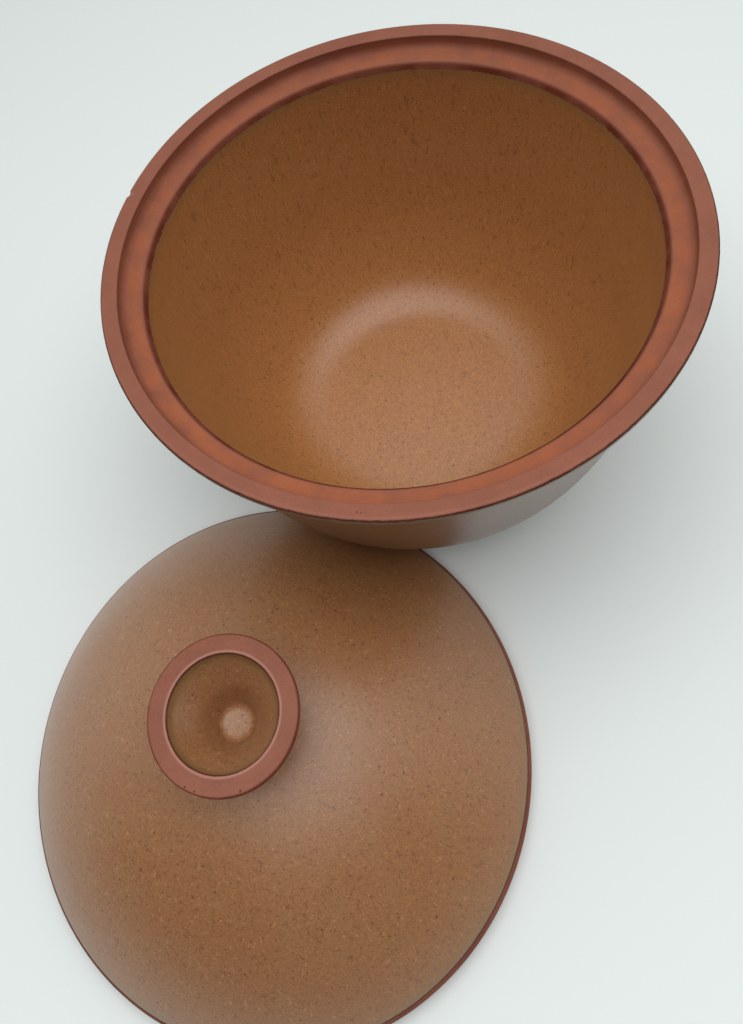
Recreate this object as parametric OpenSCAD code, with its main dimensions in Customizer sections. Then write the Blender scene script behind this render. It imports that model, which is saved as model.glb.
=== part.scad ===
// Clay casserole: a deep tapering pot with a gallery in its rim, and its domed lid.
// The lid is off: it lies rim down in front of the pot, tucked under the pot's overhang.
// Each is one fired piece, turned round its own upright axis.
// The origin is the middle of the pot's foot, on the surface that both stand on.

/* [Pot body] */
// Height of the pot, from the surface to the top of the rim
pot_h = 150; // [135:1:190]
// How far the low foot pad stands in from the heel
foot_inset = 18.2; // [18:0.1:30]
// Height of the foot pad
foot_h = 4; // [2.5:0.5:6]
// Thickness of the wall, and of the floor above the foot pad
wall_t = 6; // [4.5:0.5:8]
// How far the belly stands out past the heel, where floor and wall would meet sharply
belly_out = 28.3; // [20:0.1:32]
// Rounding of the heel, inside and outside, where the floor turns up into the wall
heel_round = 34; // [20:1:34]
// How far the wall flares out from the belly, where it turns nearly upright, to its top
wall_flare = 21.5; // [16:0.1:26]
// Height of the belly
belly_z = 44.6; // [40:0.1:60]
// Rounding of the belly
belly_round = 150; // [80:5:200]

/* [Pot rim and gallery] */
// Outer radius of the rim
rim_r = 122.8; // [121:0.1:135]
// How far the rim stands out past the top of the wall
rim_over = 3; // [1.5:0.1:4]
// Height of the rim's outer band, with its slanted underside
rim_band = 4; // [3:0.1:6]
// Slant of the rim's underside, in degrees
rim_under = 20; // [5:1:35]
// Rounding of the rim's outer edges
rim_round = 1; // [0.3:0.1:1.2]
// Width of the flat ring on top of the rim
ring_w = 7; // [5:0.1:9]
// How far the ring slopes down to its inner edge
ring_fall = 1.1; // [0:0.1:2]
// Depth of the gallery step below the top of the rim
gallery_d = 6.6; // [5:0.1:10]
// Width of the ledge that the lid sits on
ledge_w = 8; // [7:0.1:11]
// How far the ledge slopes down to its lip
ledge_fall = 2.3; // [0:0.1:3]
// Rounding in the corner of the gallery step
gallery_fillet = 1.6; // [0.5:0.1:2.5]
// Rounding of the ledge's lip
lip_round = 1.4; // [0.5:0.1:1.8]
// How far the throat below the lip stands in from it
throat_in = 1.8; // [0.5:0.1:3]
// Height of the slanted drop from the lip to the throat
throat_drop = 3; // [2:0.1:6]
// Reach of the soft turn from the upright throat to the leaning wall
throat_blend = 22; // [6:1:24]

/* [Nick in the rim] */
// Turn of the nick round the pot from the +X side, in degrees
nick_turn = 184.6; // [0:0.1:360]
// Width of the nick along the rim's outer edge
nick_w = 4.4; // [1.5:0.1:8]
// Depth of the nick
nick_d = 0.9; // [0.3:0.1:1.6]

/* [Lid] */
// Clearance all round between the lid's rim and the gallery step
lid_play = 1.7; // [1:0.1:4]
// Thickness of the lid's wall
lid_t = 6; // [4.5:0.5:7]
// Height of the lid's upright band
band_h = 9.3; // [7:0.1:14]
// Rounding of the band's top edge
band_round = 1.6; // [0.5:0.1:3]
// Rounding of the edges that the lid sits on
seat_round = 0.8; // [0.3:0.1:1.5]
// Height of the dome's crown, under the knob
crown_z = 66; // [56:0.5:76]

/* [Knob] */
// Height of the knob above the crown of the dome
knob_h = 26.3; // [24:0.1:34]
// Outer radius of the ring on top of the knob
knob_r = 29.7; // [27:0.1:36]
// Width of that ring
knob_ring_w = 7.6; // [5:0.1:8]
// Height of the ring's outer edge
knob_edge = 2.6; // [1.5:0.1:4]
// Rounding of the ring's outer edges
knob_round = 0.7; // [0.3:0.1:0.8]
// Radius of the neck that the knob stands on
neck_r = 16.5; // [15:0.1:19]
// Height of the waist, where the neck starts to flare out
waist_h = 9; // [7:0.5:11]
// Rounding of the waist
waist_round = 12; // [2:0.5:14]
// Rounding where the neck runs into the dome
neck_fillet = 6; // [2:0.5:8]
// Depth of the cup in the knob, down to the floor of its well
cup_d = 24; // [21:0.5:25]
// Height of the cup's steep edge under the ring
cup_edge_h = 3.5; // [1.5:0.5:4]
// How far that edge leans in
cup_edge_in = 1.2; // [0.5:0.1:1.5]
// Rounding where the edge turns to the cup's slope
cup_edge_round = 8; // [2:1:10]
// Radius at which the slope turns down into the well
mouth_r = 11.5; // [10:0.5:12.5]
// Depth of that turn
mouth_d = 12.5; // [11:0.5:14]
// Rounding of that turn
mouth_round = 24; // [10:2:30]
// Radius of the well's floor
well_r = 7; // [5:0.5:8]
// Rounding round the well's floor
well_round = 4; // [2:0.5:5]

/* [Where the lid lies] */
// Smallest gap across between the lid and the pot
lid_gap = 1.1; // [0.6:0.1:30]

/* [Hidden] */
pot_colour = [0.48, 0.31, 0.19];
lid_colour = [0.58, 0.41, 0.30];
$fn = 180;

// Turn of each short chord along a rounded corner, in degrees
chord_turn = 2.5;

// Rounding of the foot pad's lower edge
foot_round = 0.8;

// Extra height of a cutting shape past what it cuts
past = 1;

// Radii and heights of the gallery, from the rim inwards and down
ring_in_r = rim_r - ring_w;
ledge_in_r = ring_in_r - ledge_w;
throat_r = ledge_in_r - throat_in;
ring_in_z = pot_h - ring_fall;
ledge_z = pot_h - gallery_d;
lip_z = ledge_z - ledge_fall;
throat_z = lip_z - throat_drop;

// Radii of the lid's rim, from the gallery that it drops into
lid_r = ring_in_r - lid_play;
lid_in_r = lid_r - lid_t;

// Unit vector from point a to point b
function along(a, b) = (b - a) / norm(b - a);

// Vector v turned a quarter turn to the left
function left(v) = [-v.y, v.x];

// Corner b of the outline a, b, c, moved by t to the left of both its edges
function inset(a, b, c, t) =
    let (n = left(along(a, b)), m = left(along(b, c)))
    b + t * (n + m) / (1 + n * m);

// Half the angle between the edges that meet at corner b
function half_angle(a, b, c) = acos(along(b, a) * along(b, c)) / 2;

// Length of edge that the rounding of corner i takes up, before its walls limit it
function wanted(corners, i) =
    i == 0 || i == len(corners) - 1
        ? 0
        : corners[i].z / tan(half_angle(flat(corners[i - 1]), flat(corners[i]), flat(corners[i + 1])));

// Radius and height of a corner, without its rounding
function flat(corner) = [corner.x, corner.y];

// Length of the edge from corner i to its neighbour j that corner i may take up:
// what the neighbour leaves of it, or half of it
function room(corners, i, j) =
    let (edge = norm(flat(corners[i]) - flat(corners[j])))
    max(edge - wanted(corners, j), edge / 2);

// Points along the arc that rounds corner b and takes up length t of its edges
function corner_arc(a, b, c, t) =
    let (
        u = along(b, a),
        v = along(b, c),
        half = half_angle(a, b, c),
        centre = b + (u + v) / norm(u + v) * t / cos(half),
        start = b + u * t - centre,
        side = left(u) * v > 0 ? -1 : 1,
        turn = 180 - 2 * half,
        steps = max(2, ceil(turn / chord_turn))
    )
    [for (i = [0 : steps])
        let (w = side * turn * i / steps)
        centre + start * cos(w) + left(start) * sin(w)];

// Outline through corners [radius, height, rounding], with each rounding as an arc
function rounded(corners) =
    [for (i = [0 : len(corners) - 1])
        let (
            t = wanted(corners, i) == 0
                ? 0
                : min(wanted(corners, i), room(corners, i, i - 1), room(corners, i, i + 1))
        )
        each (t == 0
            ? [flat(corners[i])]
            : corner_arc(flat(corners[i - 1]), flat(corners[i]), flat(corners[i + 1]), t))];

// Pot outside, from the axis at the foot up to the wall's top under the rim
wall_top = [rim_r - rim_over, pot_h - rim_band];
belly = [wall_top.x - wall_flare, belly_z];
heel = [belly.x - belly_out, foot_h];
foot_r = heel.x - foot_inset;
pot_outer = rounded([
    [0, 0, 0],
    [foot_r, 0, foot_round],
    [foot_r, foot_h, 0],
    [heel.x, heel.y, heel_round],
    [belly.x, belly.y, belly_round],
    [wall_top.x, wall_top.y, 0]
]);

// Rim, from its underside round the outside to the ring's inner edge
pot_rim = rounded([
    [wall_top.x, wall_top.y, 0],
    [rim_r, wall_top.y + rim_over * tan(rim_under), rim_round],
    [rim_r, pot_h, rim_round],
    [ring_in_r, ring_in_z, 0]
]);

// Pot inside, parallel to the outside up to the upright throat, then the gallery
heel_in = inset([0, foot_h], heel, belly, wall_t);
belly_in = inset(heel, belly, wall_top, wall_t);
lean = along(belly, wall_top);
throat_foot_z = belly_in.y + (throat_r - belly_in.x) * lean.y / lean.x;
blend_round = throat_blend / tan(atan(lean.x / lean.y) / 2);
pot_inner = rounded([
    [0, heel_in.y, 0],
    [heel_in.x, heel_in.y, heel_round],
    [belly_in.x, belly_in.y, belly_round - wall_t],
    [throat_r, throat_foot_z, blend_round],
    [throat_r, throat_z, 0],
    [ledge_in_r, lip_z, lip_round],
    [ring_in_r, ledge_z, gallery_fillet],
    [ring_in_r, ring_in_z, 0]
]);

// Radius of the round cap that rises from the point edge to height top on the axis
function cap_r(edge, top) =
    let (rise = top - edge.y)
    (edge.x * edge.x + rise * rise) / (2 * rise);

// Corner and rounding of that cap, where its edge's slope meets the level of its top
function cap_corner(edge, top) =
    [cap_r(edge, top) * (top - edge.y) / edge.x, top, cap_r(edge, top)];

// Lid outside, from its seat up the band and over the dome to the axis
band_top = [lid_r, band_h];
dome_r = cap_r(band_top, crown_z);
dome_z = crown_z - dome_r;
dome_outer = rounded([
    [lid_in_r, 0, 0],
    [lid_r, 0, seat_round],
    [band_top.x, band_top.y, band_round],
    cap_corner(band_top, crown_z),
    [0, crown_z, 0]
]);

// Lid inside, lid_t under the dome
band_in = [lid_in_r, dome_z + sqrt(pow(dome_r - lid_t, 2) - pow(lid_in_r, 2))];
dome_inner = rounded([
    [lid_in_r, 0, 0],
    [band_in.x, band_in.y, band_round],
    cap_corner(band_in, crown_z - lid_t),
    [0, crown_z - lid_t, 0]
]);

// Knob outside, from its fillet on the dome up the neck and the flare to the ring
knob_z = crown_z + knob_h;
fillet_share = dome_r / (dome_r + neck_fillet);
fillet_x = (neck_r + neck_fillet) * fillet_share;
fillet_low = [fillet_x, dome_z + sqrt(pow(dome_r, 2) - pow(fillet_x, 2))];
neck_foot_z = fillet_low.y + (fillet_low.x - neck_r) * fillet_low.x / (fillet_low.y - dome_z);
knob_outer = rounded([
    [0, crown_z - lid_t / 2, 0],
    [fillet_low.x, fillet_low.y, 0],
    [neck_r, neck_foot_z, neck_fillet],
    [neck_r, crown_z + waist_h, waist_round],
    [knob_r, knob_z - knob_edge, knob_round],
    [knob_r, knob_z, knob_round],
    [0, knob_z, 0]
]);

// Cup in the knob, from above its ring down the slope to the floor of the well
cup_r = knob_r - knob_ring_w;
cup = rounded([
    [0, knob_z + past, 0],
    [cup_r, knob_z + past, 0],
    [cup_r, knob_z, 0],
    [cup_r - cup_edge_in, knob_z - cup_edge_h, cup_edge_round],
    [mouth_r, knob_z - mouth_d, mouth_round],
    [well_r, knob_z - cup_d, well_round],
    [0, knob_z - cup_d, 0]
]);

// Widest reach of an outline of points [radius, height] at height z
function reach(outline, z) = lookup(z, [for (p = outline) if (p.x > 0) [p.y, p.x]]);

// The lid's distance is where it would touch the pot at some height, and the gap more
pot_side = [for (p = pot_outer) if (p.y > 0) p];
lid_side = [for (p = dome_outer) if (p.y > 0) p];
heights = [for (p = concat(pot_side, lid_side)) if (p.y < crown_z) p.y];
lid_away = max([for (z = heights) reach(pot_side, z) + reach(lid_side, z)]) + lid_gap;

// Ball that cuts the nick, from the nick's width and depth
nick_ball = (pow(nick_w / 2, 2) + pow(nick_d, 2)) / (2 * nick_d);

module turned(outline) {
    rotate_extrude() polygon(outline);
}

module nick() {
    rotate([0, 0, nick_turn])
    translate([rim_r + nick_ball - nick_d, 0, pot_h - rim_round / 2])
    sphere(nick_ball);
}

module pot() {
    inside_down = [for (i = [len(pot_inner) - 1 : -1 : 0]) pot_inner[i]];
    color(pot_colour)
    difference() {
        turned(concat(pot_outer, pot_rim, inside_down));
        nick();
    }
}

module lid() {
    inside_down = [for (i = [len(dome_inner) - 1 : -1 : 0]) dome_inner[i]];
    color(lid_colour)
    translate([0, -lid_away, 0])
    difference() {
        union() {
            turned(concat(dome_outer, inside_down));
            turned(knob_outer);
        }
        turned(cup);
    }
}

pot();
lid();
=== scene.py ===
"""Clay casserole: a deep tapering pot with a gallery in its rim, and its domed lid beside it."""

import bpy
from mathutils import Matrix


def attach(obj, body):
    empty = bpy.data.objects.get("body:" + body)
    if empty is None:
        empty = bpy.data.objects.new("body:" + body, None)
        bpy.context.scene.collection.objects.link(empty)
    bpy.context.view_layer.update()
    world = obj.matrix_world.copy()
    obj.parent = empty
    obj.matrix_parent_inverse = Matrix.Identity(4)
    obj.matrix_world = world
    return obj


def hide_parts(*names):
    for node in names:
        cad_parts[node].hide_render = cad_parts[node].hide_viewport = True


bl_info = {
    "name": "Clay casserole",
    "version": (1, 0, 0),
    "blender": (4, 5, 0),
    "location": "3D View > Sidebar > Casserole",
    "description": "Turns a glazed clay pot and its lid, and sets up a plain studio round them",
    "category": "Add Mesh",
}

import math
from types import SimpleNamespace

import bpy
import numpy as np
from bpy.props import FloatProperty, FloatVectorProperty, PointerProperty
from bpy.types import Operator, Panel, PropertyGroup
from mathutils import Matrix

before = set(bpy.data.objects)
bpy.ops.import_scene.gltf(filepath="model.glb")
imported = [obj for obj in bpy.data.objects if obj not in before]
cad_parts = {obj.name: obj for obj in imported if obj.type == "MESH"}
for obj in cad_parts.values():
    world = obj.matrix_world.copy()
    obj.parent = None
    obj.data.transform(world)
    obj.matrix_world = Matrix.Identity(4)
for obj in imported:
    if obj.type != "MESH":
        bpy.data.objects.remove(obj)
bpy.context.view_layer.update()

MM = 0.001
SEED = 11

# An outline's points in millimetres: how far apart they lie, and how close two count as one
OUTLINE_STEP = 0.06
SAME_POINT = 1e-6

# How finely a surface is divided: columns round its axis, the largest step in millimetres and
# the largest turn between two of its rows, the step and the reach in millimetres at an edge of
# the glaze, and the extra columns within some radians of the nick
COLUMNS = 420
ROW_STEP = 5.6
ROW_TURN = math.radians(8.0)
FINE_STEP = 0.45
FINE_REACH = 1.6
NICK_COLUMNS = 26
NICK_REACH = 0.012

# Small forms that have no property, in millimetres and degrees
GLAZE_THICK = 0.18
POT_WOBBLE = 0.06
LID_WOBBLE = 0.1
FOOT_ROUND = 0.8
RIM_UNDER = 20.0
RIM_UNDER_ROUND = 0.9
RIM_ROUND = 1.0
RING_ROUND = 0.6
STEP_ROUND = 3.0
LIP_ROUND = 1.4
DROP_ROUND = 1.2
SEAT_ROUND = 0.8
SEAT_ROUND_INSIDE = 0.9
BAND_ROUND = 1.6
KNOB_ROUND = 0.7
CUP_ROUND = 0.5

# The fine relief: its depth in metres, and how many such depths the glaze stands over the clay
RELIEF_DEPTH = 0.00012
GLAZE_RISE = 2.0

# Dark marks in the bare clay: on the pot as radius, degrees, height and size, and on the knob's
# ring as degrees and size
POT_MARKS = (
    (115.4, -146.6, 141.0, 0.9),
    (114.4, -142.9, 141.0, 0.7),
    (119.3, -73.3, 149.5, 0.35),
    (119.3, -72.6, 149.5, 0.3),
)
KNOB_MARK_RADIUS = 28.5
KNOB_MARKS = ((-92.0, 0.45), (-83.8, 0.4), (-48.5, 0.5))

# The side of the rim whose outer corner carries a painted highlight
HIGHLIGHT_SIDE = math.radians(-75.0)

# The stage: the floor's side and its drop below the foot in metres, its roughness and gloss, the
# lamp's place and width in metres, the sky's colour, the direction behind the set, and how much
# of the sky is left there and behind the camera
FLOOR_SIDE = 8.0
FLOOR_DROP = 0.0001
FLOOR_ROUGH = 0.8
FLOOR_GLOSS = 0.2
PANEL_PLACE = (0.2, -0.16, 1.2)
PANEL_WIDTH = 1.3
SKY_COLOUR = (0.97, 1.0, 1.0, 1)
SKY_BACK = (-0.42, 0.91, 0.0)
SKY_DIM = 0.5
SKY_FRONT = 0.12

# The photograph's camera: picture size, focal length and principal point in pixels, the width
# of the sensor in millimetres, the nearest and farthest distance that it sees in metres, and
# its axes and place in metres
PICTURE_WIDTH = 743
PICTURE_HEIGHT = 1024
FOCAL_PIXELS = 896.43
CENTRE_X = 309.1
CENTRE_Y = 387.8
SENSOR = 36.0
CLIP = (0.02, 20.0)
CAMERA = (
    (0.89125, -0.26926, 0.36492, 0.11937),
    (0.40661, 0.8308, -0.38005, -0.20129),
    (-0.20085, 0.4871, 0.84994, 0.43157),
    (0, 0, 0, 1),
)


# Profiles


def unit(vector):
    """A vector divided by its length."""
    return vector / np.linalg.norm(vector)


def along(points):
    """Distance along an outline, from its first point to each point."""
    return np.r_[0, np.cumsum(np.linalg.norm(np.diff(points, axis=0), axis=1))]


def rounded(corners):
    """An outline through corners (radius, height, rounding) as a dense row of points.

    Each corner with a rounding R is replaced by the arc of radius R that touches both of its
    edges; the arc takes at most what its neighbour leaves of an edge, or half of the edge.
    """
    corners = np.asarray(corners, float)
    flat = corners[:, :2]
    half = np.full(len(flat), math.pi / 2)
    for i in range(1, len(flat) - 1):
        cosine = unit(flat[i - 1] - flat[i]) @ unit(flat[i + 1] - flat[i])
        half[i] = math.acos(np.clip(cosine, -1, 1)) / 2
    wanted = corners[:, 2] / np.tan(half)
    edge = np.linalg.norm(np.diff(flat, axis=0), axis=1)
    pieces = [flat[:1]]
    for i in range(1, len(flat) - 1):
        room = min(
            max(edge[i - 1] - wanted[i - 1], edge[i - 1] / 2),
            max(edge[i] - wanted[i + 1], edge[i] / 2),
        )
        reach = min(wanted[i], room)
        if reach <= 0:
            pieces.append(flat[i : i + 1])
            continue
        back, ahead = unit(flat[i - 1] - flat[i]), unit(flat[i + 1] - flat[i])
        centre = flat[i] + unit(back + ahead) * reach / math.cos(half[i])
        start = flat[i] + back * reach - centre
        side = -1.0 if back[0] * ahead[1] - back[1] * ahead[0] > 0 else 1.0
        turn = math.pi - 2 * half[i]
        count = max(4, int(np.linalg.norm(start) * turn / OUTLINE_STEP))
        angle = side * np.linspace(0, turn, count + 1)[:, None]
        left = np.array([-start[1], start[0]])
        pieces.append(centre + start * np.cos(angle) + left * np.sin(angle))
    pieces.append(flat[-1:])
    points = np.concatenate(pieces)
    length = along(points)
    keep = np.r_[True, np.diff(length) > SAME_POINT]
    points, length = points[keep], length[keep]
    even = np.union1d(np.arange(0, length[-1], OUTLINE_STEP), length)
    return np.stack([np.interp(even, length, points[:, k]) for k in (0, 1)], axis=1)


def nearest(points, radius, height):
    """Distance along an outline at which it comes closest to a point."""
    gap = np.hypot(points[:, 0] - radius, points[:, 1] - height)
    return along(points)[np.argmin(gap)]


def edge_distance(at, edges):
    """Signed distance along the outline from the glaze's edges, positive under glaze.

    edges are the distances along the outline at which glaze starts, stops, starts and so on.
    """
    gap = np.min(np.abs(at[:, None] - np.asarray(edges)), axis=1)
    inside = (np.searchsorted(edges, at) % 2) == 1
    return np.where(inside, gap, -gap)


def rows(points, fine_at):
    """The outline with its points spread again, closer where it turns and at fine_at.

    The density of points is the root of the squares of one point per ROW_STEP and one point per
    ROW_TURN of turning, with the turning averaged over a window of samples, and one per FINE_STEP
    within FINE_REACH of each distance in fine_at. Equal shares of its running sum give the points.
    """
    sample, window = 0.05, 25
    length = along(points)
    heading = np.unwrap(np.arctan2(*np.gradient(points, axis=0).T[::-1]))
    even = np.arange(0, length[-1], sample)
    turned = np.interp(even, length, heading)
    bend = np.abs(np.gradient(turned, even))
    bend = np.convolve(bend, np.ones(window) / window, mode="same")
    density = np.hypot(1 / ROW_STEP, bend / ROW_TURN)
    for at in fine_at:
        density += bell(even - at, FINE_REACH) / FINE_STEP
    share = np.r_[0, np.cumsum((density[1:] + density[:-1]) / 2 * np.diff(even))]
    count = int(math.ceil(share[-1]))
    spread = np.interp(np.linspace(0, share[-1], count + 1), share, even)
    spread[-1] = length[-1]
    points = np.stack([np.interp(spread, length, points[:, k]) for k in (0, 1)], axis=1)
    return points, spread


def right_normals(points):
    """Unit normals on the right of an outline, which is the outside of the clay."""
    run = np.gradient(points, axis=0)
    run /= np.linalg.norm(run, axis=1)[:, None]
    return np.stack([run[:, 1], -run[:, 0]], axis=1)


def smooth(value, low, high):
    """The S-shaped step 3t^2 - 2t^3 of value between low and high."""
    share = np.clip((value - low) / (high - low), 0, 1)
    return share * share * (3 - 2 * share)


def bell(value, width):
    """The bell curve exp(-(value / width)^2)."""
    return np.exp(-((value / width) ** 2))


def ripple(angle, draw, first, count, decay=0.75):
    """A sum of sines of the angle from wave number first on, with random phases, within +-1."""
    waves = first + np.arange(count)
    size = waves.astype(float) ** -decay
    phase = draw.uniform(0, 2 * math.pi, count)
    total = (np.sin(angle[..., None] * waves + phase) * size).sum(axis=-1)
    return total / size.sum()


# Turned surfaces


def column_angles(nick):
    """Angles round the axis, evenly spread with extra ones close to the nick.

    The running share is angle / 2 pi * COLUMNS plus NICK_COLUMNS times an S-shaped step of width
    NICK_REACH at the nick; evenly spaced values of it give the angles.
    """
    samples = 40001
    even = np.linspace(nick - math.pi, nick + math.pi, samples)
    share = (even - even[0]) / (2 * math.pi) * COLUMNS
    share = share + NICK_COLUMNS / (1 + np.exp(-(even - nick) / NICK_REACH))
    share -= share[0]
    count = int(share[-1])
    return np.interp(np.arange(count) * share[-1] / count, share, even)


def turned_mesh(name, points, angles, inset, lift, centre, values):
    """A closed surface of revolution from pole to pole.

    A point of the grid is the outline's radius and height, less inset along the radius and plus
    lift along the outline's outer normal, turned to its angle. The first and last rows lie on the
    axis and become one vertex each.
    """
    normal = right_normals(points)
    radius = points[:, :1] + normal[:, :1] * lift - inset
    height = points[:, 1:] + normal[:, 1:] * lift
    radius, height = radius[1:-1], height[1:-1]
    grid = np.stack(
        [
            centre[0] + radius * np.cos(angles),
            centre[1] + radius * np.sin(angles),
            np.broadcast_to(height, radius.shape) + centre[2],
        ],
        axis=-1,
    )
    row_count, column_count = radius.shape
    poles = np.array([[centre[0], centre[1], centre[2] + points[k, 1]] for k in (0, -1)])
    vertices = np.concatenate([grid.reshape(-1, 3), poles]) * MM
    i, j = np.meshgrid(np.arange(row_count - 1), np.arange(column_count), indexing="ij")
    ahead = (j + 1) % column_count
    quads = np.stack(
        [
            i * column_count + j,
            i * column_count + ahead,
            (i + 1) * column_count + ahead,
            (i + 1) * column_count + j,
        ],
        axis=-1,
    ).reshape(-1, 4)
    ring = np.arange(column_count)
    turn = (ring + 1) % column_count
    first = np.full(column_count, row_count * column_count)
    last_row = (row_count - 1) * column_count
    caps = np.concatenate(
        [
            np.stack([first, turn, ring], axis=1),
            np.stack([first + 1, last_row + ring, last_row + turn], axis=1),
        ]
    )
    mesh = bpy.data.meshes.new(name)
    mesh.vertices.add(len(vertices))
    mesh.vertices.foreach_set("co", vertices.ravel())
    corners = np.concatenate([quads.ravel(), caps.ravel()])
    sizes = np.concatenate([np.full(len(quads), 4), np.full(len(caps), 3)])
    mesh.loops.add(len(corners))
    mesh.loops.foreach_set("vertex_index", corners)
    mesh.polygons.add(len(sizes))
    mesh.polygons.foreach_set("loop_start", np.r_[0, np.cumsum(sizes)[:-1]])
    mesh.update(calc_edges=True)
    mesh.polygons.foreach_set("use_smooth", np.ones(len(sizes), bool))
    for label, value in values.items():
        inner = np.broadcast_to(value[1:-1], radius.shape).ravel()
        ends = [np.mean(value[0]), np.mean(value[-1])]
        layer = mesh.attributes.new(label, "FLOAT", "POINT")
        layer.data.foreach_set("value", np.r_[inner, ends].astype(np.float32))
    mesh.validate()
    mesh.update()
    return mesh


def polar(radius, degrees, height):
    """A place given by radius, angle and height."""
    turn = math.radians(degrees)
    return np.array([radius * math.cos(turn), radius * math.sin(turn), height])


def shown(name, mesh, material, node):
    """Shows the mesh as a piece that rides on the root and stands for its CAD node."""
    piece = bpy.data.objects.new(name, mesh)
    bpy.context.scene.collection.objects.link(piece)
    mesh.materials.append(material)
    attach(piece, "root")
    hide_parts(node)


# Node groups and materials


def linear(colour):
    """A colour written as 0 to 255, in the linear values that a shader socket takes."""
    value = np.asarray(colour, float) / 255
    value = np.where(value <= 0.04045, value / 12.92, ((value + 0.055) / 1.055) ** 2.4)
    return (*value, 1.0)


def opaque(colour):
    """A property's colour as a shader socket takes it."""
    return (*colour, 1.0)


class Nodes:
    """Short calls that add nodes to one tree and wire them."""

    def __init__(self, tree):
        self.tree = tree

    def feed(self, sockets, inputs):
        """Gives sockets their values: each a plain value or another node's output."""
        for name, value in dict(inputs).items():
            if isinstance(value, bpy.types.NodeSocket):
                self.tree.links.new(value, sockets[name])
            else:
                sockets[name].default_value = value

    def add(self, kind, inputs=(), **settings):
        """A node with its settings and inputs."""
        node = self.tree.nodes.new(kind)
        for name, value in settings.items():
            setattr(node, name, value)
        self.feed(node.inputs, inputs)
        return node

    def math(self, operation, *values, clamp=False):
        """A number worked out from one or two others."""
        inputs = enumerate(values)
        node = self.add("ShaderNodeMath", inputs, operation=operation, use_clamp=clamp)
        return node.outputs[0]

    def times(self, first, second):
        """The product of two numbers."""
        return self.math("MULTIPLY", first, second)

    def mix(self, factor, first, second, blend="MIX"):
        """A colour between two others, on the colour sockets of a Mix node."""
        inputs = {0: factor, 6: first, 7: second}
        return self.add("ShaderNodeMix", inputs, data_type="RGBA", blend_type=blend).outputs[2]

    def blend(self, factor, first, second):
        """A number between two others, on the number sockets of a Mix node."""
        inputs = {0: factor, 2: first, 3: second}
        return self.add("ShaderNodeMix", inputs, data_type="FLOAT").outputs[0]

    def grey(self, value):
        """A grey of the given level."""
        return self.add("ShaderNodeCombineColor", {0: value, 1: value, 2: value}).outputs[0]

    def step(self, value, low, high, start=0.0, end=1.0):
        """An S-shaped step from start to end while value goes from low to high."""
        node = self.add(
            "ShaderNodeMapRange",
            {"Value": value, "From Min": low, "From Max": high, "To Min": start, "To Max": end},
            interpolation_type="SMOOTHSTEP",
        )
        return node.outputs[0]

    def noise(self, vector, size, detail, rough, warp=0.0):
        """Noise with bumps about size millimetres across, on coordinates in metres."""
        node = self.add(
            "ShaderNodeTexNoise",
            {
                "Vector": vector,
                "Scale": 1000.0 / size,
                "Detail": detail,
                "Roughness": rough,
                "Distortion": warp,
            },
        )
        return node.outputs["Fac"]

    def spot(self, vector, place, radius):
        """A mask of one soft round mark about a place, both in millimetres."""
        middle = tuple(np.asarray(place) * MM)
        away = self.add("ShaderNodeVectorMath", {0: vector, 1: middle}, operation="DISTANCE")
        return self.step(away.outputs["Value"], 0.6 * radius * MM, 1.3 * radius * MM, 1.0, 0.0)

    def dots(self, vector, cell, radius, share):
        """A mask of round grains: one per cell millimetres, in the given share of the cells."""
        node = self.add(
            "ShaderNodeTexVoronoi",
            {"Vector": vector, "Scale": 1000.0 / cell, "Randomness": 1.0},
            feature="F1",
        )
        reach = radius / cell
        inside = self.step(node.outputs["Distance"], reach * 0.55, reach * 1.25, 1.0, 0.0)
        split = self.add("ShaderNodeSeparateColor", {0: node.outputs["Color"]})
        chosen = self.math("LESS_THAN", split.outputs[0], share)
        return self.times(inside, chosen)


def new_group(name, inputs, outputs):
    """Nodes for a new shader node group, with the sockets that lead into it and out of it.

    inputs are names, kinds and defaults, and outputs are names and kinds.
    """
    group = bpy.data.node_groups.new(name, "ShaderNodeTree")
    for label, kind, value in inputs:
        socket = group.interface.new_socket(label, in_out="INPUT", socket_type="NodeSocket" + kind)
        if value is not None:
            socket.default_value = value
    for label, kind in outputs:
        group.interface.new_socket(label, in_out="OUTPUT", socket_type="NodeSocket" + kind)
    nodes = Nodes(group)
    return nodes, nodes.add("NodeGroupInput").outputs, nodes.add("NodeGroupOutput").inputs


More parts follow.
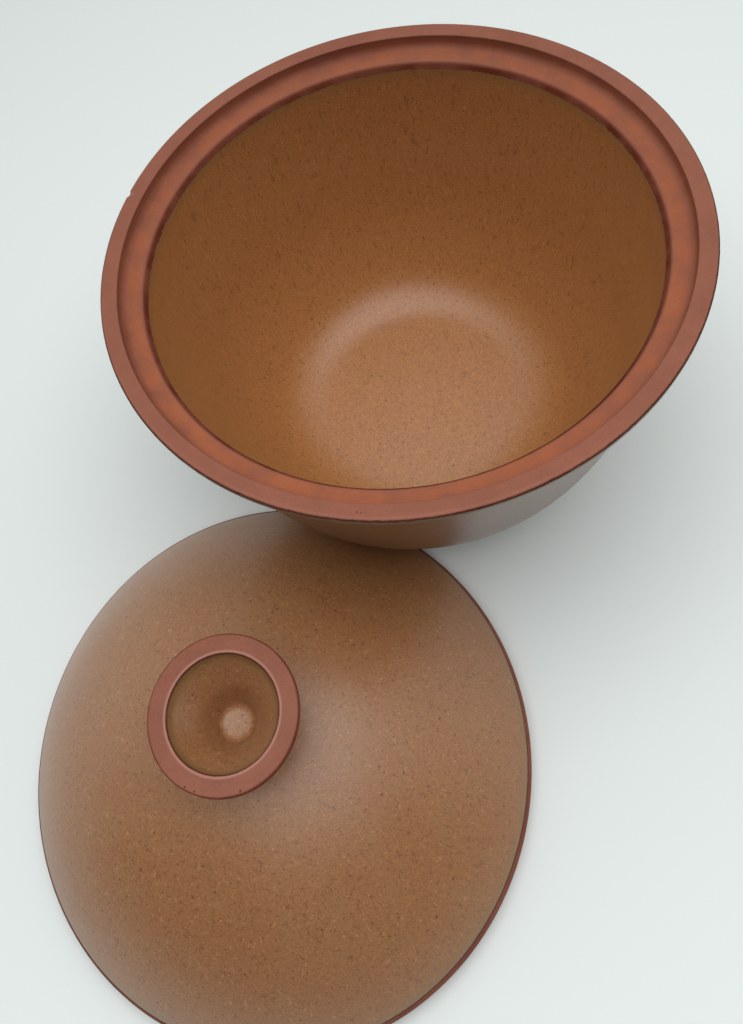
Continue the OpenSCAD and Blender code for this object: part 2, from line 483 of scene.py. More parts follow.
def bare_clay_group():
    """Fired red clay: soft clouds of colour, fine grit, dark pinholes and pale grains."""
    nodes, given, out = new_group(
        "Bare clay",
        [
            ("Vector", "Vector", None),
            ("Clay", "Color", None),
            ("Deep", "Color", None),
            ("Orange", "Color", None),
            ("Stain and shade", "Float", 0.0),
            ("Blush", "Float", 0.0),
        ],
        [("Color", "Color"), ("Height", "Float")],
    )
    vector = given["Vector"]
    cloud = nodes.noise(vector, 13.0, detail=3.0, rough=0.55, warp=0.3)
    grit = nodes.noise(vector, 0.9, detail=3.0, rough=0.62)
    pins = nodes.dots(vector, cell=5.2, radius=0.22, share=0.12)
    pale = nodes.dots(vector, cell=4.6, radius=0.24, share=0.10)
    blush = nodes.times(given["Blush"], nodes.step(cloud, 0.3, 0.62, 0.35, 1.0))
    colour = nodes.mix(blush, given["Clay"], given["Orange"])
    # Mixes towards the deep clay where the darkening input is high. That is a real stain on the
    # drop under the pot's lip, and painted shade on the bare foot, the rim's outer corner, inside
    # the ring, at the step's foot and on the knob's ring
    stain_and_shade = nodes.times(given["Stain and shade"], nodes.step(cloud, 0.62, 0.32, 0.7, 1.0))
    colour = nodes.mix(stain_and_shade, colour, given["Deep"])
    level = nodes.times(
        nodes.step(grit, 0.3, 0.7, 0.95, 1.05), nodes.step(cloud, 0.3, 0.7, 0.94, 1.06)
    )
    colour = nodes.mix(1.0, colour, nodes.grey(level), "MULTIPLY")
    colour = nodes.mix(nodes.times(pins, 0.6), colour, given["Deep"])
    colour = nodes.mix(nodes.times(pale, 0.35), colour, linear((196, 140, 110)))
    height = nodes.math("SUBTRACT", nodes.times(grit, 0.5), nodes.times(pins, 0.8))
    nodes.feed(out, {"Color": colour, "Height": height})
    return nodes.tree


def speckled_glaze_group():
    """Satin glaze over clay: faint clouds, fine grain, upright runs, dark specks, pale grains."""
    nodes, given, out = new_group(
        "Speckled glaze",
        [
            ("Vector", "Vector", None),
            ("Glaze", "Color", None),
            ("Warm", "Color", None),
            ("Olive", "Color", None),
            ("Pooled", "Color", None),
            ("Pool", "Float", 0.0),
            ("Stain and shade", "Float", 0.0),
            ("Dark", "Color", None),
            ("Pale", "Color", None),
            ("Grain", "Float", 0.6),
        ],
        [("Color", "Color"), ("Height", "Float"), ("Sheen", "Float")],
    )
    vector, strength = given["Vector"], given["Grain"]
    wide = nodes.noise(vector, 52.0, detail=2.0, rough=0.5, warp=0.3)
    wide = nodes.step(wide, 0.36, 0.66, 0.0, 0.55)
    small = nodes.noise(vector, 15.0, detail=3.0, rough=0.55, warp=0.3)
    small = nodes.step(small, 0.38, 0.7, 0.0, 0.5)
    fine = nodes.noise(vector, 0.9, detail=3.0, rough=0.7)
    finer = nodes.noise(vector, 0.45, detail=2.0, rough=0.6)
    upright = {0: vector, 1: (1.0, 1.0, 0.3)}
    drawn = nodes.add("ShaderNodeVectorMath", upright, operation="MULTIPLY").outputs["Vector"]
    runs = nodes.noise(drawn, 2.0, detail=3.0, rough=0.6)
    dark = nodes.dots(vector, cell=1.7, radius=0.36, share=0.24)
    deep = nodes.dots(vector, cell=4.6, radius=0.5, share=0.4)
    pale = nodes.dots(vector, cell=2.1, radius=0.32, share=0.24)
    colour = nodes.mix(wide, given["Glaze"], given["Warm"])
    colour = nodes.mix(small, colour, given["Olive"])
    colour = nodes.mix(given["Pool"], colour, given["Pooled"])
    # Painted shade: the darkening input darkens the glaze towards the dark specks' colour over the
    # pot's outside, most under the rim, and faintly in the knob's cup
    colour = nodes.mix(given["Stain and shade"], colour, given["Dark"])
    both = nodes.blend(0.45, fine, finer)
    grain = nodes.step(both, 0.36, 0.64, -0.26, 0.24)
    level = nodes.math("ADD", 1.0, nodes.times(grain, strength))
    colour = nodes.mix(1.0, colour, nodes.grey(level), "MULTIPLY")
    drips = nodes.step(runs, 0.58, 0.68)
    gaps = nodes.step(runs, 0.4, 0.3)
    for mask, share, tint in (
        (drips, 0.42, "Dark"),
        (gaps, 0.3, "Pale"),
        (dark, 0.8, "Dark"),
        (deep, 1.0, "Dark"),
        (pale, 0.65, "Pale"),
    ):
        weight = nodes.times(mask, nodes.times(strength, share))
        colour = nodes.mix(weight, colour, given[tint])
    hollow = nodes.times(nodes.math("ADD", dark, deep), 0.35)
    height = nodes.math("SUBTRACT", nodes.times(both, 1.6), hollow)
    sheen = nodes.step(fine, 0.3, 0.7)
    nodes.feed(out, {"Color": colour, "Height": height, "Sheen": sheen})
    return nodes.tree


def glaze_edge_group():
    """Where the glaze stops: its ragged cover, the dark line at its edge and its thin margin."""
    nodes, given, out = new_group(
        "Glaze edge",
        [
            ("Vector", "Vector", None),
            ("Distance", "Float", 0.0),
            ("Ragged", "Float", 0.5),
            ("Line width", "Float", 0.6),
            ("Margin", "Float", 8.0),
        ],
        [("Cover", "Float"), ("Line", "Float"), ("Thin", "Float")],
    )
    vector = given["Vector"]
    coarse = nodes.math("SUBTRACT", nodes.noise(vector, 5.0, detail=2.0, rough=0.5), 0.5)
    fine = nodes.math("SUBTRACT", nodes.noise(vector, 1.3, detail=2.0, rough=0.6), 0.5)
    shift = nodes.math("ADD", nodes.times(coarse, 1.6), nodes.times(fine, 2.4))
    place = nodes.math("ADD", given["Distance"], nodes.times(shift, given["Ragged"]))
    cover = nodes.step(place, -0.12, 0.12)
    gap = nodes.math("DIVIDE", nodes.math("ABSOLUTE", place), given["Line width"])
    line = nodes.step(gap, 0.45, 1.05, 1.0, 0.0)
    share = nodes.math("DIVIDE", place, given["Margin"])
    thin = nodes.step(share, 0.0, 1.0, 1.0, 0.0)
    nodes.feed(out, {"Cover": cover, "Line": line, "Thin": thin})
    return nodes.tree


def fired_groups():
    """The three node groups that both pieces share, built once."""
    names = ("Bare clay", "Speckled glaze", "Glaze edge")
    makers = (bare_clay_group, speckled_glaze_group, glaze_edge_group)
    return [bpy.data.node_groups.get(name) or make() for name, make in zip(names, makers)]


def fired_material(name, look, ragged, marks):
    """Glaze where the piece is glazed and bare clay elsewhere, told apart by its own attribute.

    The glaze's gloss is a coat, a little weaker where the glaze is darkened, over a base with
    little gloss of its own. The darkening is a real stain on the drop under the pot's lip and
    mostly painted shade elsewhere. The clay is paled by the nick and by painted highlights on
    edges. marks are small dark spots in the clay, each a place in millimetres and a radius.
    """
    material = bpy.data.materials.new(name)
    material.use_nodes = True
    nodes = Nodes(material.node_tree)
    shader = material.node_tree.nodes["Principled BSDF"]
    vector = nodes.add("ShaderNodeTexCoord").outputs["Object"]
    distance, stain_and_shade, blush, chip_and_highlight, lined = (
        nodes.add("ShaderNodeAttribute", attribute_name=label).outputs["Fac"]
        for label in ("glaze_distance", "stain_and_shade", "blush", "chip_and_highlight", "lined")
    )
    clay, glaze, edge = (nodes.add("ShaderNodeGroup", node_tree=tree) for tree in fired_groups())
    nodes.feed(
        clay.inputs,
        {
            "Vector": vector,
            "Clay": opaque(look.clay),
            "Deep": opaque(look.deep),
            "Orange": opaque(look.orange),
            "Stain and shade": stain_and_shade,
            "Blush": blush,
        },
    )
    nodes.feed(
        glaze.inputs,
        {
            "Vector": vector,
            "Glaze": opaque(look.glaze),
            "Warm": opaque(look.warm),
            "Olive": opaque(look.olive),
            "Pooled": opaque(look.pooled),
            "Pool": blush,
            "Stain and shade": stain_and_shade,
            "Dark": opaque(look.dark_grain_and_shade),
            "Pale": opaque(look.pale_grain),
            "Grain": look.grain,
        },
    )
    nodes.feed(edge.inputs, {"Vector": vector, "Distance": distance, "Ragged": ragged})
    cover = edge.outputs["Cover"]
    thin = nodes.times(edge.outputs["Thin"], look.thin_share)
    glazed = nodes.mix(thin, glaze.outputs["Color"], opaque(look.thin))
    bare = clay.outputs["Color"]
    for place, radius in marks:
        spot = nodes.times(nodes.spot(vector, place, radius), 0.8)
        bare = nodes.mix(spot, bare, opaque(look.deep))
    # Pale clay in the nick, and painted highlights on the rim's outer corner and the knob's inner
    # edge
    bare = nodes.mix(nodes.times(chip_and_highlight, look.chip_and_highlight_share), bare, opaque(look.chip_and_highlight))
    line = nodes.times(edge.outputs["Line"], nodes.times(lined, look.line_share))
    colour = nodes.mix(line, nodes.mix(cover, bare, glazed), opaque(look.edge))
    glossy, matt = look.glaze_rough - 0.03, look.glaze_rough + 0.05
    satin = nodes.step(glaze.outputs["Sheen"], 0.0, 1.0, glossy, matt)
    dull = nodes.math("ADD", look.clay_rough, nodes.times(stain_and_shade, 0.4), clamp=True)
    held = nodes.math("SUBTRACT", 1.0, nodes.times(stain_and_shade, 0.18))
    raised = nodes.math("ADD", glaze.outputs["Height"], GLAZE_RISE)
    height = nodes.blend(cover, clay.outputs["Height"], raised)
    relief = {"Strength": look.bump, "Distance": RELIEF_DEPTH, "Height": height}
    nodes.feed(
        shader.inputs,
        {
            "Base Color": colour,
            "Roughness": nodes.blend(cover, dull, satin),
            "Specular IOR Level": look.clay_gloss,
            "Coat Weight": nodes.times(cover, held),
            "Coat Roughness": look.glaze_rough,
            "Normal": nodes.add("ShaderNodeBump", relief).outputs["Normal"],
        },
    )
    return material


# Properties


def length_property(name, description, default):
    """A size in millimetres."""
    description += ", in millimetres"
    return FloatProperty(name=name, description=description, default=default, min=0.0)


def share_property(name, description, default):
    """A number from 0 to 1."""
    return FloatProperty(
        name=name, description=description, default=default, min=0.0, max=1.0, subtype="FACTOR"
    )


def colour_property(name, description, default):
    """A colour, with its default written as 0 to 255."""
    return FloatVectorProperty(
        name=name,
        description=description,
        default=linear(default)[:3],
        min=0.0,
        max=1.0,
        size=3,
        subtype="COLOR",
    )


class PotSizes(PropertyGroup):
    """Sizes of the pot"""

    height: length_property("Height", "Height of the pot", 150.0)
    wall: length_property("Wall", "Thickness of the wall", 6.0)
    foot_radius: length_property("Foot radius", "Radius of the foot pad", 51.8)
    foot_height: length_property("Foot height", "Height of the foot pad", 4.0)
    heel_radius: length_property("Heel radius", "Radius where floor and wall would meet", 70.0)
    heel_round: length_property("Heel rounding", "Rounding of the heel", 34.0)
    belly_radius: length_property("Belly radius", "Radius of the belly", 98.3)
    belly_height: length_property("Belly height", "Height of the belly", 44.6)
    belly_round: length_property("Belly rounding", "Rounding of the belly", 150.0)
    rim_radius: length_property("Rim radius", "Outer radius of the rim", 122.8)
    rim_over: length_property("Rim overhang", "How far the rim stands out", 3.0)
    rim_band: length_property("Rim band", "Height of the rim's outer band", 4.0)
    ring_width: length_property("Ring width", "Width of the flat ring", 7.0)
    ring_fall: length_property("Ring fall", "Fall of the ring to its inner edge", 1.1)
    gallery_depth: length_property("Gallery depth", "Depth of the step for the lid", 6.6)
    ledge_width: length_property("Ledge width", "Width of the lid's ledge", 8.0)
    ledge_fall: length_property("Ledge fall", "Fall of the ledge to its lip", 2.3)
    throat_in: length_property("Throat", "How far the throat stands in from the lip", 1.8)
    throat_drop: length_property("Throat drop", "Height of the slant under the lip", 3.0)
    throat_blend: length_property("Throat blend", "Reach of the turn from throat to wall", 22.0)
    nick_turn: FloatProperty(
        name="Nick angle",
        description="Where the chipped nick in the rim lies",
        default=math.radians(184.6),
        subtype="ANGLE",
    )
    nick_width: length_property("Nick width", "Width of the nick", 3.4)
    nick_depth: length_property("Nick depth", "Depth of the nick", 0.85)


class LidSizes(PropertyGroup):
    """Sizes of the lid"""

    away: length_property("Distance", "Distance of the lid's axis from the pot's", 187.97)
    radius: length_property("Radius", "Radius of the lid's rim", 114.1)
    wall: length_property("Wall", "Thickness of the wall", 6.0)
    band: length_property("Band", "Height of the upright band", 9.3)
    crown: length_property("Crown", "Height of the dome", 66.0)
    knob_height: length_property("Knob height", "Height of the knob over the crown", 26.3)
    knob_radius: length_property("Knob radius", "Outer radius of the knob's ring", 29.7)
    knob_ring: length_property("Knob ring", "Width of the knob's ring", 7.6)
    knob_edge: length_property("Knob edge", "Height of the ring's outer edge", 2.6)
    neck: length_property("Neck", "Radius of the neck", 16.5)
    neck_fillet: length_property("Neck fillet", "Rounding between neck and dome", 6.0)
    waist: length_property("Waist", "Height at which the neck flares out", 9.0)
    waist_round: length_property("Waist rounding", "Rounding of the waist", 12.0)
    cup_depth: length_property("Cup depth", "Depth of the cup, down to the floor of its well", 24.0)
    edge_height: length_property("Cup edge", "Height of the cup's steep edge", 3.5)
    edge_in: length_property("Cup edge lean", "How far that edge leans in", 1.2)
    edge_round: length_property("Cup edge rounding", "Rounding where it turns to the slope", 8.0)
    mouth: length_property("Well mouth", "Radius at which the slope turns down into the well", 11.5)
    mouth_depth: length_property("Well mouth depth", "Depth of that turn", 12.5)
    mouth_round: length_property("Well mouth rounding", "Rounding of that turn", 24.0)
    well: length_property("Well", "Radius of the well's floor", 7.0)
    well_round: length_property("Well rounding", "Rounding round the well's floor", 4.0)


class FiredLook(PropertyGroup):
    """Colours and textures of the clay and the glaze"""

    clay: colour_property("Clay", "Bare fired clay", (140, 86, 68))
    # Also the colour of the painted shade on the pot's clay corners and the knob's ring
    deep: colour_property("Deep clay", "Dark clay under the lip and in pinholes, with painted shade on edges and in corners", (92, 34, 14))
    orange: colour_property("Orange clay", "Clay on the ledge for the lid", (152, 87, 59))
    edge: colour_property("Glaze line", "Dark line along the glaze's edge", (60, 30, 18))
    # Pale clay in the nick, and the colour of the painted highlights on edges
    chip_and_highlight: colour_property("Nick and highlight", "Pale clay in the nick, and painted highlights on edges", (182, 132, 118))
    glaze: colour_property("Glaze", "Main colour of the glaze", (150, 102, 64))
    warm: colour_property("Warm glaze", "Redder clouds in the glaze", (146, 94, 56))
    olive: colour_property("Olive glaze", "Greener clouds in the glaze", (148, 106, 66))
    pooled: colour_property("Pooled glaze", "Thicker glaze inside the pot", (170, 115, 66))
    thin: colour_property("Thin glaze", "Thin glaze next to its edge", (132, 102, 62))
    # Also the colour of the painted shade over the pot's glazed outside
    dark_grain_and_shade: colour_property("Dark grain and shade", "Dark specks in the glaze, and painted shade on the pot's outside", (80, 44, 24))
    pale_grain: colour_property("Pale grain", "Pale specks in the glaze", (205, 160, 112))
    grain: share_property("Grain", "Strength of the specks", 0.8)
    thin_share: share_property("Thin share", "Strength of the thin margin", 0.5)
    line_share: share_property("Edge line", "Strength of the dark line at the glaze's edge", 0.85)
    chip_and_highlight_share: share_property("Nick and highlight share", "Strength of the pale nick and the painted highlights", 0.7)
    glaze_rough: share_property("Glaze roughness", "Roughness of the glaze", 0.38)
    clay_rough: share_property("Clay roughness", "Roughness of the bare clay", 0.5)
    clay_gloss: share_property("Clay gloss", "Specular level under the glaze's coat", 0.13)
    bump: share_property("Bump", "Strength of the fine relief", 0.35)
    pot_ragged: FloatProperty(
        name="Pot edge", description="How ragged the pot's glaze edge is", default=0.5, min=0.0
    )
    lid_ragged: FloatProperty(
        name="Lid edge", description="How ragged the lid's glaze edge is", default=0.22, min=0.0
    )


class StageLook(PropertyGroup):
    """Floor and light"""

    floor: FloatVectorProperty(
        name="Floor",
        description="Colour of the floor",
        default=(0.79, 0.835, 0.82),
        min=0.0,
        max=1.0,
        size=3,
        subtype="COLOR",
    )
    sky: FloatProperty(
        name="Sky", description="Strength of the light all round", default=0.98, min=0.0
    )
    panel: FloatProperty(
        name="Panel",
        description="Power of the wide panel overhead",
        default=9.2,
        min=0.0,
        unit="POWER",
    )


# The pot


def pot_outline(size):
    """The pot's outline from the middle of its foot, up outside, over the rim and down inside."""
    foot_z = size.foot_height
    heel = np.array([size.heel_radius, foot_z])
    belly = np.array([size.belly_radius, size.belly_height])
    top = np.array([size.rim_radius - size.rim_over, size.height - size.rim_band])
    wall = size.wall

    def inside(before, corner, after):
        """A corner moved in by the wall's thickness from both of its edges."""
        left, right = unit(corner - before), unit(after - corner)
        left, right = np.array([-left[1], left[0]]), np.array([-right[1], right[0]])
        return corner + wall * (left + right) / (1 + left @ right)

    heel_in = inside(np.array([0, foot_z]), heel, belly)
    belly_in = inside(heel, belly, top)
    ring_in = size.rim_radius - size.ring_width
    ledge_in = ring_in - size.ledge_width
    throat = ledge_in - size.throat_in
    ledge_z = size.height - size.gallery_depth
    lip_z = ledge_z - size.ledge_fall
    throat_z = lip_z - size.throat_drop
    lean = unit(top - belly)
    throat_foot = belly_in[1] + (throat - belly_in[0]) * lean[1] / lean[0]
    blend = size.throat_blend / math.tan(math.atan(lean[0] / lean[1]) / 2)
    slant = size.rim_over * math.tan(math.radians(RIM_UNDER))
    return [
        (0, 0, 0),
        (size.foot_radius, 0, FOOT_ROUND),
        (size.foot_radius, foot_z, FOOT_ROUND),
        (heel[0], heel[1], size.heel_round),
        (belly[0], belly[1], size.belly_round),
        (top[0], top[1], RIM_UNDER_ROUND),
        (size.rim_radius, top[1] + slant, RIM_ROUND),
        (size.rim_radius, size.height, RIM_ROUND),
        (ring_in, size.height - size.ring_fall, RING_ROUND),
        (ring_in, ledge_z, STEP_ROUND),
        (ledge_in, lip_z, LIP_ROUND),
        (throat, throat_z, DROP_ROUND),
        (throat, throat_foot, blend),
        (belly_in[0], belly_in[1], size.belly_round - wall),
        (heel_in[0], heel_in[1], size.heel_round),
        (0, heel_in[1], 0),
    ]


def pot_places(size, outline):
    """Where the forms of the pot lie, as distances along its outline.

    The glaze starts beside the foot, stops at the rim's outer corner and starts again inside,
    under the slanted drop below the ledge's lip.
    """
    ring_in = size.rim_radius - size.ring_width
    ledge_z = size.height - size.gallery_depth
    lip_in, lip_z = ring_in - size.ledge_width, ledge_z - size.ledge_fall
    corner = nearest(outline, size.rim_radius - 0.3, size.height - 0.3)
    return SimpleNamespace(
        foot_glaze=nearest(outline, size.foot_radius + 4, size.foot_height),
        under_rim=nearest(outline, size.rim_radius - size.rim_over, size.height - size.rim_band),
        rim_glaze=corner - 0.5,
        corner=corner,
        ring_in=nearest(outline, ring_in, size.height - size.ring_fall),
        step_foot=nearest(outline, ring_in - 0.9, ledge_z - 0.2),
        lip=nearest(outline, lip_in, lip_z),
        inner_glaze=nearest(outline, lip_in - size.throat_in, lip_z - size.throat_drop),
    )


def nick_bite(size, at, angles, corner):
    """How deep the nick bites at each point: a ragged trough across the rim's outer corner."""
    flat = 0.8
    across = (angles - size.nick_turn) * size.rim_radius / (size.nick_width / 2)
    chip = np.clip(1.15 - np.abs(across), 0, flat) * (1 + 0.12 * np.sin(9 * across))
    return bell(at - corner, 1.5) * chip * size.nick_depth / flat


def pot_stain_and_shade(at, angles, place, patches):
    """How dark each point is: painted shade over the glazed outside, and lines and patches in the
    clay.

    The outside is darkest just under the rim. The rim's outer corner is dark clay with painted
    shade on it. A thin line inside the ring and patches along the foot of the step on the side away
    from +X are painted shade. The drop under the ledge's lip is dark clay.
    """
    # Painted shade over the whole glazed outside, deepest just under the rim
    outside = (
        0.67
        + 0.2 * smooth(at, place.under_rim - 14, place.under_rim)
        + 0.13 * smooth(at, place.under_rim, place.under_rim + 2)
    )
    drop = smooth(at, place.lip + 0.2, place.lip + 1.6)
    drop = drop * smooth(at, place.inner_glaze + 0.4, place.inner_glaze)
    # Dark clay with painted shade on it, along the rim's outer corner
    band = smooth(at, place.corner + 0.3, place.corner - 0.2)
    # Painted shade along the top of the step, just inside the ring
    crease = bell(at - place.ring_in - 0.4, 0.4)
    # Patches of painted shade in the corner at the step's foot, on one side only
    side = np.clip(0.35 - 0.5 * np.cos(angles), 0, 1)
    patch = bell(at - place.step_foot, 1.8) * patches * side
    dark = np.maximum(0.93 * drop, np.maximum(0.9 * band, 0.4 * crease))
    return np.where(at < place.rim_glaze, outside, np.maximum(dark, 0.6 * patch))


def pot_blush(at, place):
    """Where the clay is orange, on the ledge and fainter on the step, and where glaze pools."""
    step = smooth(at, place.ring_in + 0.2, place.ring_in + 1.2)
    step = step * smooth(at, place.step_foot + 0.9, place.step_foot - 0.6)
    ledge = smooth(at, place.step_foot, place.step_foot + 1.5)
    ledge = ledge * smooth(at, place.lip + 0.6, place.lip - 1.0)
    return np.maximum(ledge, 0.45 * step) + (at > place.inner_glaze)


class CASSEROLE_OT_pot(Operator):
    """Turn the pot, with its gallery, its bare clay rim and its nick"""

    bl_idname = "casserole.pot"
    bl_label = "Pot"

    def execute(self, context):
        size, look = context.scene.casserole_pot, context.scene.casserole_look
        outline = rounded(pot_outline(size))
        place = pot_places(size, outline)
        edges = (place.foot_glaze, place.rim_glaze, place.inner_glaze)
        points, at = rows(outline, (*edges, place.corner, place.lip))
        distance, at = edge_distance(at, edges)[:, None], at[:, None]
        angles = column_angles(size.nick_turn)
        draw = np.random.default_rng(SEED)
        wobble = GLAZE_THICK + POT_WOBBLE * (1 + ripple(angles, draw, 2, 3))
        inset = wobble * smooth(points[:, 1:], 20, 120)
        patches = np.clip(0.5 + 0.9 * ripple(angles, draw, 5, 26, 0.3), 0, 1)
        bite = nick_bite(size, at, angles, place.corner)
        lift = GLAZE_THICK * smooth(distance, -0.4, 0.5) - bite
        # A painted highlight: a pale line on the rim's outer corner, on one side only
        near = smooth(np.cos(angles - HIGHLIGHT_SIDE), 0.6, 0.95)
        edge_highlight = 0.4 * bell(at - place.corner - 1.0, 0.4) * patches * near
        values = {
            "glaze_distance": distance,
            "stain_and_shade": pot_stain_and_shade(at, angles, place, patches),
            "blush": pot_blush(at, place),
            "chip_and_highlight": bite + edge_highlight,
            "lined": np.where(at < place.lip, 1.0, 0.45),
        }
        mesh = turned_mesh("pot_turned", points, angles, inset, lift, (0, 0, 0), values)
        marks = [(polar(*where), radius) for *where, radius in POT_MARKS]
        material = fired_material("Pot glaze and clay", look, look.pot_ragged, marks)
        shown("pot_turned", mesh, material, "pot")
        return {"FINISHED"}


# The lid


def lid_outline(size):
    """The lid's outline from under its crown, down inside, round its rim, over dome and knob.

    The dome is an arc through the rim's band and the crown, and its inside another. The foot of
    the knob's neck lies where a fillet touches both the neck and the dome.
    """
    arc_points, band_end = 1200, 60
    radius, crown, wall = size.radius, size.crown, size.wall
    rise = crown - size.band
    dome = (radius**2 + rise**2) / (2 * rise)
    middle = crown - dome
    inner = radius - wall
    inner_top = middle + math.sqrt((dome - wall) ** 2 - inner**2)
    inner_rise = crown - wall - inner_top
    inner_dome = (inner**2 + inner_rise**2) / (2 * inner_rise)
    knob_top = crown + size.knob_height
    foot_x = (size.neck + size.neck_fillet) * dome / (dome + size.neck_fillet)
    foot_z = middle + math.sqrt(dome**2 - foot_x**2)
    neck_z = foot_z + (foot_x - size.neck) * foot_x / (foot_z - middle)
    inside = rounded(
        [
            (0, crown - wall, 0),
            (inner_dome * inner_rise / inner, crown - wall, inner_dome),
            (inner, inner_top, BAND_ROUND),
            (inner, 0, SEAT_ROUND_INSIDE),
            (radius - wall / 2, 0, 0),
        ]
    )
    arc = np.linspace(math.asin(radius / dome), math.asin(foot_x / dome), arc_points)
    cap = np.stack([dome * np.sin(arc), middle + dome * np.cos(arc)], axis=1)
    band = rounded(
        [
            (radius - wall / 2, 0, 0),
            (radius, 0, SEAT_ROUND),
            (radius, size.band, BAND_ROUND),
            (cap[band_end, 0], cap[band_end, 1], 0),
        ]
    )
    cup = size.knob_radius - size.knob_ring
    knob = rounded(
        [
            (foot_x, foot_z, 0),
            (size.neck, neck_z, size.neck_fillet),
            (size.neck, crown + size.waist, size.waist_round),
            (size.knob_radius, knob_top - size.knob_edge, KNOB_ROUND),
            (size.knob_radius, knob_top, KNOB_ROUND),
            (cup, knob_top, CUP_ROUND),
            (cup - size.edge_in, knob_top - size.edge_height, size.edge_round),
            (size.mouth, knob_top - size.mouth_depth, size.mouth_round),
            (size.well, knob_top - size.cup_depth, size.well_round),
            (0, knob_top - size.cup_depth, 0),
        ]
    )
    points = np.concatenate([inside, band[1:], cap[band_end + 1 :], knob[1:]])
    keep = np.r_[True, np.diff(along(points)) > SAME_POINT]
    return points[keep]


def lid_places(size, outline):
    """Where the forms of the lid lie, as distances along its outline.

    The glaze covers the inside down to the rim, the dome from the rim's band up to the flare
    under the knob's ring, and the cup.
    """
    knob_top = size.crown + size.knob_height
    cup_radius = size.knob_radius - size.knob_ring
    return SimpleNamespace(
        inside_glaze=nearest(outline, size.radius - size.wall, 4),
        band_glaze=nearest(outline, size.radius - 2.4, size.band + 1.6),
        flare_glaze=nearest(outline, size.knob_radius - 0.6, knob_top - size.knob_edge - 0.4),
        knob_corner=nearest(outline, size.knob_radius - 0.2, knob_top - 0.2),
        cup_rim=nearest(outline, cup_radius + 0.6, knob_top),
        cup_glaze=nearest(outline, cup_radius - 0.1, knob_top - 0.45),
        well=nearest(outline, size.well, knob_top - size.cup_depth),
    )


def lid_stain_and_shade(at, place):
    """How dark each point is: the bare band darker towards the dome's glaze, painted shade on the
    outside of the knob's ring, and faint painted shade in the cup.
    """
    band = smooth(at, place.band_glaze - 7.0, place.band_glaze)
    band = band * smooth(at, place.band_glaze + 0.6, place.band_glaze)
    # Painted shade on the outside of the knob's ring, under its edge
    side = smooth(at, place.flare_glaze - 0.2, place.flare_glaze + 0.2)
    side = side * smooth(at, place.knob_corner + 0.7, place.knob_corner + 0.1)
    # Faint painted shade down the wall of the knob's cup
    cup = smooth(at, place.cup_glaze, place.cup_glaze + 1)
    cup = cup * smooth(at, place.well, place.well - 3)
    return 0.5 * band + 0.9 * side + 0.15 * cup


class CASSEROLE_OT_lid(Operator):
    """Turn the lid, with its dome, its bare clay rim and its hollow knob"""

    bl_idname = "casserole.lid"
    bl_label = "Lid"

    def execute(self, context):
        size, look = context.scene.casserole_lid, context.scene.casserole_look
        outline = lid_outline(size)
        place = lid_places(size, outline)
        edges = (place.inside_glaze, place.band_glaze, place.flare_glaze, place.cup_glaze)
        points, at = rows(outline, edges)
        distance, at = -edge_distance(at, edges)[:, None], at[:, None]
        angles = np.linspace(0, 2 * math.pi, COLUMNS, endpoint=False)
        draw = np.random.default_rng(SEED + 1)
        lift = GLAZE_THICK * smooth(distance, -0.4, 0.5)
        inset = LID_WOBBLE * (1 + ripple(angles, draw, 2, 3)) * smooth(points[:, :1], 20, 110)
        values = {
            "glaze_distance": distance,
            "stain_and_shade": lid_stain_and_shade(at, place),
            "blush": np.zeros_like(at),
            # A painted highlight along the inner edge of the knob's ring
            "chip_and_highlight": bell(at - place.cup_rim, 0.4),
            "lined": np.ones_like(at),
        }
        centre = np.array([0, -size.away, 0])
        mesh = turned_mesh("lid_turned", points, angles, inset, lift, centre, values)
        knob_top = size.crown + size.knob_height
        marks = [
            (centre + polar(KNOB_MARK_RADIUS, degrees, knob_top), radius)
            for degrees, radius in KNOB_MARKS
        ]
        material = fired_material("Lid glaze and clay", look, look.lid_ragged, marks)
        shown("lid_turned", mesh, material, "lid")
        return {"FINISHED"}


# The stage


def soft_lamp(name, place, width, power):
    """A round area lamp that faces down."""
    data = bpy.data.lights.new(name, "AREA")
    data.shape = "DISK"
    data.size = width
    data.energy = power
    lamp = bpy.data.objects.new(name, data)
    lamp.location = place
    bpy.context.scene.collection.objects.link(lamp)


def shaded_sky(strength):
    """Light from both sides and overhead, dim behind the set and dimmer behind the camera.

    With t the part of the direction that lies along SKY_BACK, the light rises from SKY_FRONT of
    itself in an S-shaped step from t = -0.5 to 0.2 and falls to SKY_DIM from t = 0.3 to 0.9.
    """
    world = bpy.data.worlds.new("Shaded sky")
    world.use_nodes = True
    nodes = Nodes(world.node_tree)
    sky = world.node_tree.nodes["Background"]
    toward = nodes.add("ShaderNodeTexCoord").outputs["Generated"]
    back = nodes.add("ShaderNodeVectorMath", {0: toward, 1: SKY_BACK}, operation="DOT_PRODUCT")
    rise = nodes.step(back.outputs["Value"], -0.5, 0.2, SKY_FRONT * strength, strength)
    fall = nodes.step(back.outputs["Value"], 0.3, 0.9, 1.0, SKY_DIM)
    level = nodes.times(rise, fall)
    nodes.feed(sky.inputs, {"Color": SKY_COLOUR, "Strength": level})
    return world


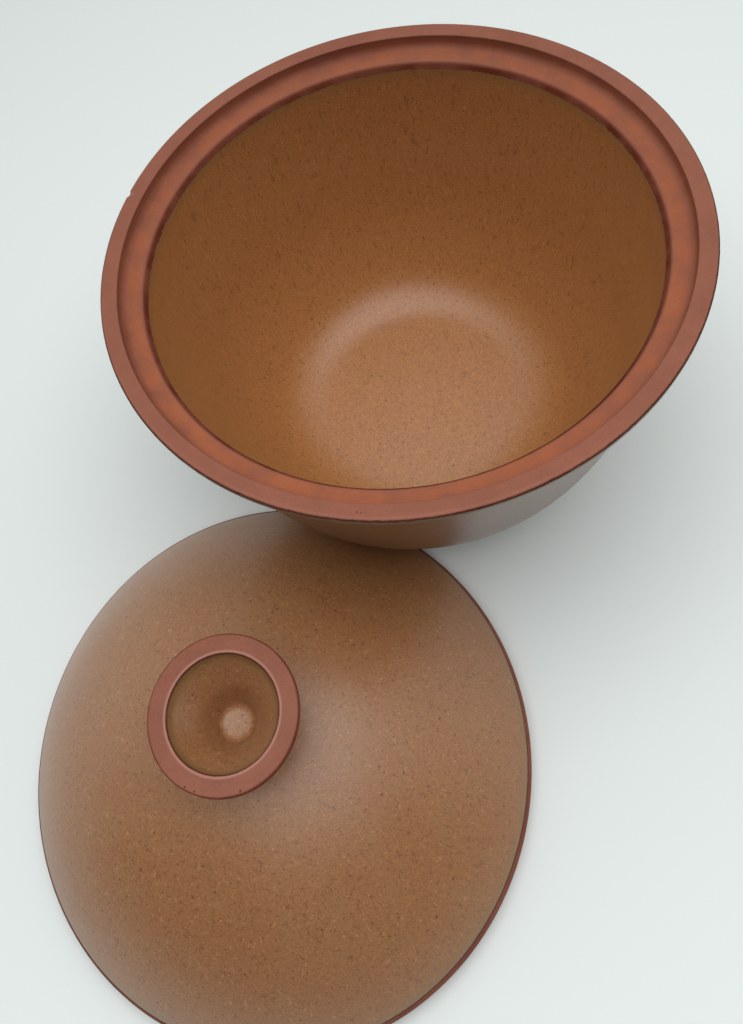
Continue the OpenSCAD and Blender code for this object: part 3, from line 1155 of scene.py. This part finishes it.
class CASSEROLE_OT_stage(Operator):
    """Lay the pale floor, light it softly and set the camera"""

    bl_idname = "casserole.stage"
    bl_label = "Stage"

    def execute(self, context):
        look = context.scene.casserole_stage
        scene = context.scene
        scene.view_settings.view_transform = "Standard"
        bpy.ops.mesh.primitive_plane_add(size=FLOOR_SIDE, location=(0, 0, -FLOOR_DROP))
        floor = context.object
        floor.name = "floor"
        material = bpy.data.materials.new("Pale floor")
        material.use_nodes = True
        shader = material.node_tree.nodes["Principled BSDF"]
        shader.inputs["Base Color"].default_value = opaque(look.floor)
        shader.inputs["Roughness"].default_value = FLOOR_ROUGH
        shader.inputs["Specular IOR Level"].default_value = FLOOR_GLOSS
        floor.data.materials.append(material)
        scene.world = shaded_sky(look.sky)
        soft_lamp("panel", PANEL_PLACE, PANEL_WIDTH, look.panel)
        data = bpy.data.cameras.new("camera")
        data.sensor_width = SENSOR
        data.lens = FOCAL_PIXELS * SENSOR / PICTURE_HEIGHT
        data.shift_x = (PICTURE_WIDTH / 2 - CENTRE_X) / PICTURE_HEIGHT
        data.shift_y = (CENTRE_Y - PICTURE_HEIGHT / 2) / PICTURE_HEIGHT
        data.clip_start, data.clip_end = CLIP
        camera = bpy.data.objects.new("camera", data)
        scene.collection.objects.link(camera)
        camera.matrix_world = Matrix(CAMERA)
        scene.camera = camera
        return {"FINISHED"}


# The add-on


class CASSEROLE_PT_panel(Panel):
    """Lists the sizes and the steps in the 3D view's sidebar"""

    bl_label = "Clay casserole"
    bl_idname = "CASSEROLE_PT_panel"
    bl_space_type = "VIEW_3D"
    bl_region_type = "UI"
    bl_category = "Casserole"

    def draw(self, context):
        for group, operator in (
            ("casserole_pot", CASSEROLE_OT_pot),
            ("casserole_lid", CASSEROLE_OT_lid),
            ("casserole_look", None),
            ("casserole_stage", CASSEROLE_OT_stage),
        ):
            box = self.layout.box()
            values = getattr(context.scene, group)
            for name in values.bl_rna.properties.keys():
                if name not in ("rna_type", "name"):
                    box.prop(values, name)
            if operator:
                box.operator(operator.bl_idname)


CLASSES = (
    PotSizes,
    LidSizes,
    FiredLook,
    StageLook,
    CASSEROLE_OT_pot,
    CASSEROLE_OT_lid,
    CASSEROLE_OT_stage,
    CASSEROLE_PT_panel,
)


def register():
    """Adds the classes and the scene's properties."""
    for item in CLASSES:
        bpy.utils.register_class(item)
    bpy.types.Scene.casserole_pot = PointerProperty(type=PotSizes)
    bpy.types.Scene.casserole_lid = PointerProperty(type=LidSizes)
    bpy.types.Scene.casserole_look = PointerProperty(type=FiredLook)
    bpy.types.Scene.casserole_stage = PointerProperty(type=StageLook)


def unregister():
    """Takes the scene's properties and the classes away again."""
    del bpy.types.Scene.casserole_stage
    del bpy.types.Scene.casserole_look
    del bpy.types.Scene.casserole_lid
    del bpy.types.Scene.casserole_pot
    for item in reversed(CLASSES):
        bpy.utils.unregister_class(item)


def main():
    register()
    bpy.ops.casserole.pot()
    bpy.ops.casserole.lid()
    bpy.ops.casserole.stage()


if __name__ == "__main__":
    main()
